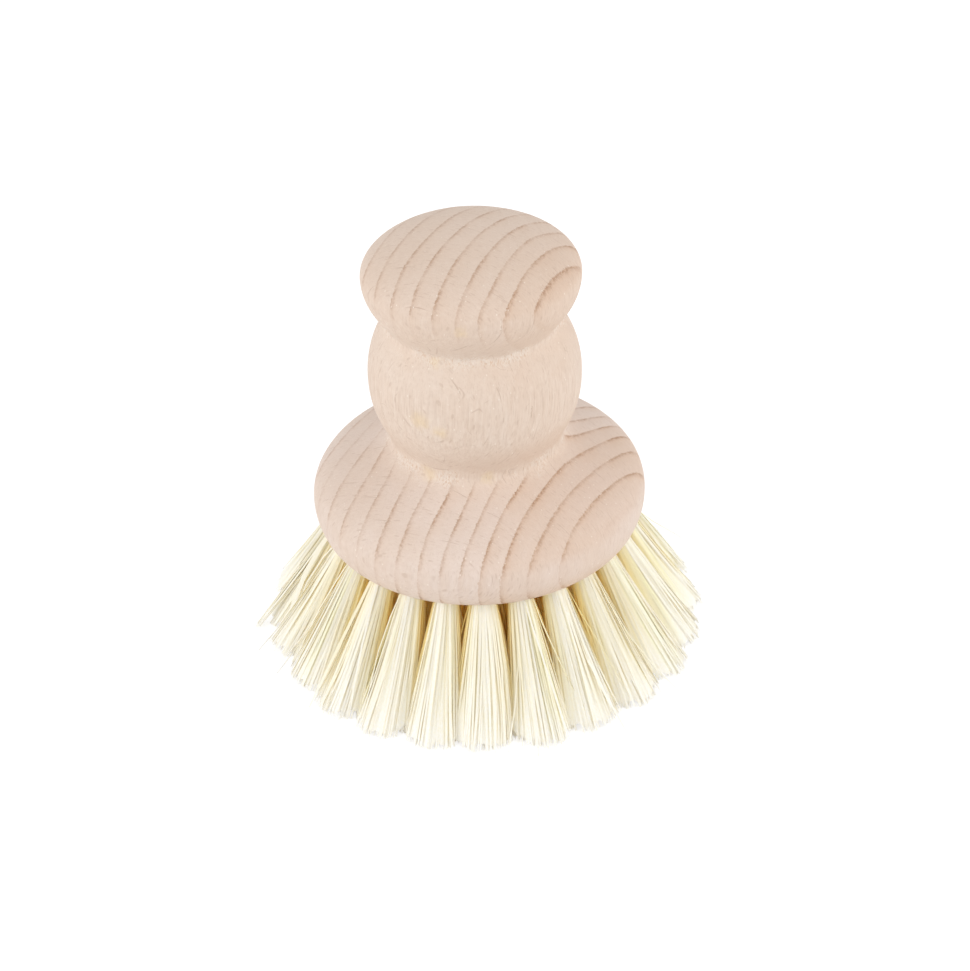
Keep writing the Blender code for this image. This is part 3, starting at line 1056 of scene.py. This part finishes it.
def strand_lines(site, flat, locks, sway, chance):
    """Return each strand's points from its hole to its trimmed end."""
    ring = site[1]
    count = len(flat)
    tips, astray = strand_tips(site, flat, locks, chance)
    steps = np.linspace(0, 1, STRAND_STEPS)
    splay = TUFT_SPLAYS.get(site[0], STRAND_SPLAY)
    lines = bent_lines(ring, mouth_places(ring, flat), tips + sway, steps, splay)
    bow = chance.normal(0, STRAND_BOW, (count, 3)) * (1, 1, 0)
    bow *= 1 + STRAY_BOW_GAIN * astray[:, None]
    lines += bow[:, None] * np.sin(math.pi * steps)[None, :, None]
    short = np.minimum(np.abs(chance.normal(0, RAGGED_TRIM, count)), RAGGED_LIMIT)
    last = lines[:, -1] - lines[:, -2]
    lines[:, -1] -= last * (short / np.abs(last[:, 2]))[:, None]
    buried = lines[:, 0] + into_wood(ring) * STRAND_BURY
    return np.concatenate([buried[:, None], lines], axis=1)


def lock_tints(locks, chance):
    """Choose a colour for each lock of a tuft."""
    kinds, shares = (np.array(values) for values in zip(*FIBRE_KINDS))
    return kinds[chance.choice(len(kinds), len(locks), p=shares)]


def painted_shade_shares(ring, flat):
    """Return how far places of a tuft take painted shade: amber as they face into the brush, gold as
    they face sideways.
    """
    if ring < RING_COUNT:
        return np.ones(len(flat)), np.zeros(len(flat))
    back = np.clip((AMBER_FRONT - flat[:, 0]) / AMBER_DEPTH, 0, 1)
    flank = np.clip((np.abs(flat[:, 1]) - FLANK_FROM) / (1 - FLANK_FROM), 0, 1)
    return back, FLANK_SHARE * flank


def blended_tints(ring, flat, along, own, chance):
    """Return colours along lines: painted shade, gold at the flanks and amber deep in the brush, and
    painted light at the tips.
    """
    spread = chance.normal(1, FIBRE_TINT_SPREAD, (len(flat), 1))
    # Painted light: whiten the tips
    whiten = TIP_WHITEN * np.clip((along - TIP_WHITEN_FROM) / (1 - TIP_WHITEN_FROM), 0, 1)[None, :, None]
    tints = (own * spread)[:, None] * (1 - whiten) + np.array(FIBRE_TIP) * whiten
    back, flank = painted_shade_shares(ring, flat)
    back = back * (1 - AMBER_UNEVEN * chance.random(len(flat)))
    fade = np.clip((AMBER_END[ring] - along) / (AMBER_END[ring] - AMBER_FULL[ring]), 0, 1)
    for hidden, colour in ((flank, FIBRE_PAINTED_SHADE_GOLD), (AMBER_MOST * back, FIBRE_PAINTED_SHADE_AMBER)):
        share = (hidden[:, None] * fade[None, :])[:, :, None]
        tints = tints * (1 - share) + np.array(colour) * share
    return tints


def painted_root_shade(along, tint):
    """Return a painted shade at a line's root that fades out towards its tip."""
    return 1 - (1 - along)[:, None] * (1 - np.array(tint))


def cross_frames(lines, outward):
    """Return the two cross directions of each line at each of its points."""
    run = np.gradient(lines, axis=1)
    run /= np.linalg.norm(run, axis=2, keepdims=True)
    side = np.cross(run, outward[:, None])
    side /= np.linalg.norm(side, axis=2, keepdims=True)
    return side, np.cross(side, run)


def tube_loops(lines, outward, half_widths, thickness, sides):
    """Sweep a polygon along lines and return the loops of points."""
    side, front = cross_frames(lines, outward)
    turn = math.tau * np.arange(sides) / sides - math.pi / 2
    across = (
        side[:, :, None] * np.cos(turn)[None, None, :, None]
        + front[:, :, None] * (np.sin(turn) * thickness)[None, None, :, None]
    )
    return lines[:, :, None] + across * half_widths[:, :, None, None]


def tube_faces(count, points, sides, columns):
    """List the faces of closed tubes and their corners in the bake layout."""
    faces = []
    corners = []
    left, right = columns
    width = (right - left) / count
    for tube in range(count):
        base = tube * points * sides
        across = [left + tube * width + width * index / sides for index in range(sides + 1)]
        for point in range(points - 1):
            low = base + point * sides
            high = low + sides
            v_low, v_high = point / (points - 1), (point + 1) / (points - 1)
            for index in range(sides):
                following = (index + 1) % sides
                faces.append((low + index, high + index, high + following, low + following))
                u_low, u_high = across[index:index + 2]
                corners += ((u_low, v_low), (u_low, v_high), (u_high, v_high), (u_high, v_low))
        end = base + (points - 1) * sides
        faces.append(tuple(range(base, base + sides)))
        faces.append(tuple(reversed(range(end, end + sides))))
        for level in (0.0, 1.0):
            ends = (level, abs(level - BAKE_CAP))
            corners += ((across[index], ends[index % 2]) for index in range(sides))
    return faces, corners


def tube_part(loops, tints, columns, slot=0, smooth=False):
    """Gather closed tubes with all that their mesh needs."""
    count, points, sides = loops.shape[:3]
    faces, corners = tube_faces(count, points, sides, columns)
    return {
        "points": loops.reshape(-1, 3),
        "faces": faces,
        "corners": corners,
        "tints": np.broadcast_to(tints, loops.shape).reshape(-1, 3),
        "material_index": slot,
        "use_smooth": smooth,
    }


def strand_part(site, locks, colours, sway, chance):
    """Make a tuft's strands as closed, tapered, slightly flat tubes."""
    ring = site[1]
    core = round(STRANDS[ring] * CORE_SHARE)
    shell = disc_places(STRANDS[ring] - core, SHELL_POWER, chance)
    flat = np.concatenate([disc_places(core, EVEN_POWER, chance), shell])
    lines = strand_lines(site, flat, locks, sway, chance)
    count, points = lines.shape[:2]
    half = STRAND_WIDTH / 2 * np.exp(chance.normal(0, STRAND_WIDTH_SPREAD_SHARE, count))
    half = half[:, None] * np.interp(np.linspace(0, 1, points), *zip(*STRAND_TAPER))[None, :]
    outward = np.column_stack([flat + chance.normal(0, STRAND_TURN, flat.shape), np.zeros(count)])
    loops = tube_loops(lines, outward, half, STRAND_THICKNESS_SHARE, STRAND_SIDES)
    along = np.concatenate([[0.0], np.linspace(0, 1, points - 1)])
    own = colours[nearest_lock(flat, locks)] * LOCK_TINT_SHARE
    own = own + lock_tints(flat, chance) * (1 - LOCK_TINT_SHARE)
    tints = blended_tints(ring, flat, along, own, chance)
    shade = np.ones((points, STRAND_SIDES, 3))
    # Painted shade on the corner that faces into the tuft
    shade[:, 0] = painted_root_shade(along, STRAND_BACK_PAINTED_SHADE)
    return tube_part(loops, tints[:, :, None] * shade, (HEART_COLUMNS, 1.0))


def heart_part(site, locks, colours, sway, chance):
    """Make the tuft's packed heart, with a ragged and hollow end."""
    ring = site[1]
    turn = math.tau * np.arange(HEART_SIDES) / HEART_SIDES
    ridges = 1 + chance.normal(0, HEART_RIDGE_SHARE, HEART_SIDES)
    flat = np.stack([np.cos(turn), np.sin(turn)], axis=1) * ridges[:, None]
    places, widths = (np.array(values) for values in zip(*HEART_LOOPS))
    shell, middle = (
        bent_lines(ring, mouth_places(ring, spots), tip_places(ring, spots) + sway, places, splay)
        for spots, splay in ((flat, TUFT_SPLAYS.get(site[0], STRAND_SPLAY)), (flat * 0, 0))
    )
    lines = middle + (shell - middle) * widths[None, :, None]
    short = chance.random((HEART_SIDES, 1)) * HEART_RAGGED
    lines[:, HEART_RIM] += (lines[:, HEART_RIM - 1] - lines[:, HEART_RIM]) * short
    deepest = HOLE_DEPTH - FIT_GAP - DRILL_POINT
    plug = lines[:, :1] + into_wood(ring) * deepest
    loops = np.concatenate([plug, lines], axis=1).transpose(1, 0, 2)[None]
    own = colours[nearest_lock(flat, locks)]
    along = np.append(0.0, places)
    tints = blended_tints(ring, flat, along, own, chance).transpose(1, 0, 2)
    # Painted shade on the heart where it shows between the strands
    tints = tints * painted_root_shade(along, HEART_PAINTED_SHADE)[:, None]
    return tube_part(loops, tints[None], (0.0, HEART_COLUMNS / 2))


def wire_part(site):
    """Make the staple that the fibres are doubled over."""
    bend = np.linspace(0, math.pi, WIRE_BEND_STEPS)
    crown = WIRE_CROWN_DEPTH + LEG_OFFSET
    path = [(LEG_OFFSET, 0, HOLE_DEPTH + WIRE_BITE)]
    path += [(LEG_OFFSET * math.cos(turn), 0, crown - LEG_OFFSET * math.sin(turn)) for turn in bend]
    path += [(-LEG_OFFSET, 0, HOLE_DEPTH + WIRE_BITE)]
    lines = from_hole(site[1], np.array(path))[None]
    half = np.full((1, len(path)), WIRE_RADIUS)
    loops = tube_loops(lines, np.array([(0, 1, 0)]), half, 1.0, WIRE_SIDES)
    columns = (HEART_COLUMNS / 2, HEART_COLUMNS)
    return tube_part(loops, np.array(WIRE_BRIGHT), columns, slot=1, smooth=True)


def tuft_mesh(name, site, seed):
    """Make one tuft: its heart, its strands and its staple."""
    chance = np.random.default_rng(seed)
    ring = site[1]
    locks = disc_places(LOCKS[ring], EVEN_POWER, chance)
    colours = lock_tints(locks, chance)
    sway = np.append(chance.normal(0, TUFT_SWAY, 2), 0)
    sway[1] += TUFT_SHIFTS.get(site[0], 0)
    parts = [
        heart_part(site, locks, colours, sway, chance),
        strand_part(site, locks, colours, sway, chance),
        wire_part(site),
    ]
    points = np.concatenate([part["points"] for part in parts])
    points[:, 2] = np.maximum(points[:, 2], 0)
    points = points @ np.array(Matrix.Rotation(site[2], 3, "Z")).T
    return joined_mesh(name, points, parts)


def joined_mesh(name, points, parts):
    """Join the parts of a tuft to one mesh with its colours and bake layout."""
    faces = []
    start = 0
    for part in parts:
        faces += [tuple(start + corner for corner in face) for face in part["faces"]]
        start += len(part["points"])
    mesh = bpy.data.meshes.new(name)
    mesh.from_pydata(points.tolist(), [], faces)
    for field, kind in (("material_index", np.int32), ("use_smooth", bool)):
        values = [np.full(len(part["faces"]), part[field], kind) for part in parts]
        mesh.polygons.foreach_set(field, np.concatenate(values))
    layout = mesh.uv_layers.new(name="OFBake")
    corners = np.concatenate([np.array(part["corners"]) for part in parts])
    layout.data.foreach_set("uv", corners.astype(np.float32).ravel())
    tints = np.clip(np.concatenate([part["tints"] for part in parts]), 0, 1)
    colours = np.column_stack([tints, np.ones(len(tints))])
    attribute = mesh.color_attributes.new(FIBRE_TINT, "FLOAT_COLOR", "POINT")
    attribute.data.foreach_set("color", colours.astype(np.float32).ravel())
    return mesh


def build_tufts(fibre, wire):
    """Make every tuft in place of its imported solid."""
    for index, site in enumerate(tuft_sites()):
        name = f"{site[0]}_fibres"
        mesh = tuft_mesh(name, site, SEED + index)
        mesh.materials.append(fibre)
        mesh.materials.append(wire)
        tuft = add_object(name, mesh)
        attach(tuft, "root")
        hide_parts(site[0])


# Floor, light and camera

FLOOR_HALF_SIDE = 3.0
FLOOR_COLOUR = 0.92
FLOOR_GLOW = 0.70
FLOOR_SHOWN = 0.42
FLOOR_GRAIN = 0.01
FLOOR_GRAIN_SIZE = 0.002
FLOOR_ROUGH = 0.9
WORLD_LEVEL = 0.67
LIGHT_BOUNCES = 24
INNER_LAMP_POWER = 0.0003
INNER_LAMP_COLOUR = (1.0, 0.96, 0.66)
INNER_LAMP_RADIUS = 0.0030
INNER_LAMP_REACH = 0.0175
INNER_LAMP_HEIGHT = 0.0160
PANEL_AIM = Vector((0, 0, 0.04))

# Each panel's name, place, side and power
PANELS = (
    ("left", (-0.95, -0.42, 0.50), 0.9, 5.5),
    ("front", (0.1, -1.1, 0.30), 1.0, 0.5),
    ("right", (0.95, -0.32, 0.50), 0.9, 5.1),
)


def white_to_camera(tree):
    """Return 1 where a surface is seen directly, mirrored or through glass."""
    path = add_node(tree, "LightPath")
    seen = calc(tree, "MAXIMUM", path.outputs["Is Camera Ray"], path.outputs["Is Glossy Ray"])
    return calc(tree, "MAXIMUM", seen, path.outputs["Is Transmission Ray"])


def floor_material():
    """White paper that shows white to the camera and keeps a soft shadow."""
    material, tree, shader = new_material("floor_paper")
    place = add_node(tree, "TexCoord").outputs["Object"]
    fine = add_noise(tree, place, FLOOR_GRAIN_SIZE)
    seen = white_to_camera(tree)
    level = between(tree, seen, FLOOR_COLOUR, FLOOR_SHOWN)
    level = calc(tree, "MULTIPLY_ADD", fine, FLOOR_GRAIN, level)
    feed_named(tree, shader, {
        "Base Color": combine(tree, level, level, level),
        "Roughness": FLOOR_ROUGH,
        "Specular IOR Level": 0.0,
        "Emission Color": (1, 1, 1, 1),
        "Emission Strength": times(tree, seen, FLOOR_GLOW),
    })
    return material


def build_floor():
    """Lay a plain sheet under the brush."""
    side = FLOOR_HALF_SIDE
    corners = [(-side, -side, 0), (side, -side, 0), (side, side, 0), (-side, side, 0)]
    mesh = bpy.data.meshes.new("floor")
    mesh.from_pydata(corners, [], [(0, 1, 2, 3)])
    mesh.materials.append(floor_material())
    add_object("floor", mesh)


def build_world():
    """Light everything evenly, and show white behind it."""
    world = bpy.data.worlds.new("studio")
    bpy.context.scene.world = world
    world.use_nodes = True
    tree = world.node_tree
    feed_named(tree, tree.nodes["Background"], {
        "Color": (1, 1, 1, 1),
        "Strength": between(tree, white_to_camera(tree), WORLD_LEVEL, 1.0),
    })


def add_panels():
    """Hang square soft lights that face the brush."""
    for name, place, side, power in PANELS:
        light = bpy.data.lights.new(name, "AREA")
        light.shape = "SQUARE"
        light.size = side
        light.energy = power
        panel = add_object(name, light)
        panel.location = place
        panel.rotation_euler = (PANEL_AIM - Vector(place)).to_track_quat("-Z", "Y").to_euler()


def add_inner_lamps():
    """Hang faint lamps between the rings, for the light that fibre lets through."""
    light = bpy.data.lights.new("inner", "POINT")
    light.energy = INNER_LAMP_POWER
    light.color = INNER_LAMP_COLOUR
    light.shadow_soft_size = INNER_LAMP_RADIUS
    count = TUFTS_PER_RING_STEP * RING_COUNT
    for index in range(count):
        bearing = math.radians(-90) + math.tau * (index + 0.5) / count
        lamp = add_object(f"inner_{index + 1:02d}", light)
        turn = Matrix.Rotation(bearing, 3, "Z")
        lamp.location = turn @ Vector((INNER_LAMP_REACH, 0, INNER_LAMP_HEIGHT))


def build_camera():
    """Set the camera where the photograph was taken from."""
    lens = bpy.data.cameras.new("camera")
    lens.sensor_width = SENSOR_WIDTH
    lens.lens = FOCAL_PIXELS / IMAGE_HEIGHT * SENSOR_WIDTH
    lens.clip_start, lens.clip_end = CAMERA_CLIPS
    camera = add_object("camera", lens)
    turn = Matrix.Rotation(CAMERA_PITCH, 4, "X") @ Matrix.Rotation(CAMERA_ROLL, 4, "Z")
    camera.matrix_world = Matrix.Translation(CAMERA_PLACE) @ turn
    bpy.context.scene.camera = camera


def main():
    """Build the whole scene."""
    build_camera()
    build_world()
    build_floor()
    add_panels()
    add_inner_lamps()
    build_handle(beech_material())
    build_tufts(fibre_material(), wire_material())
    scene = bpy.context.scene
    scene.view_settings.view_transform = "Standard"
    scene.cycles.max_bounces = LIGHT_BOUNCES
    scene.cycles.diffuse_bounces = LIGHT_BOUNCES
    bpy.context.view_layer.update()


main()
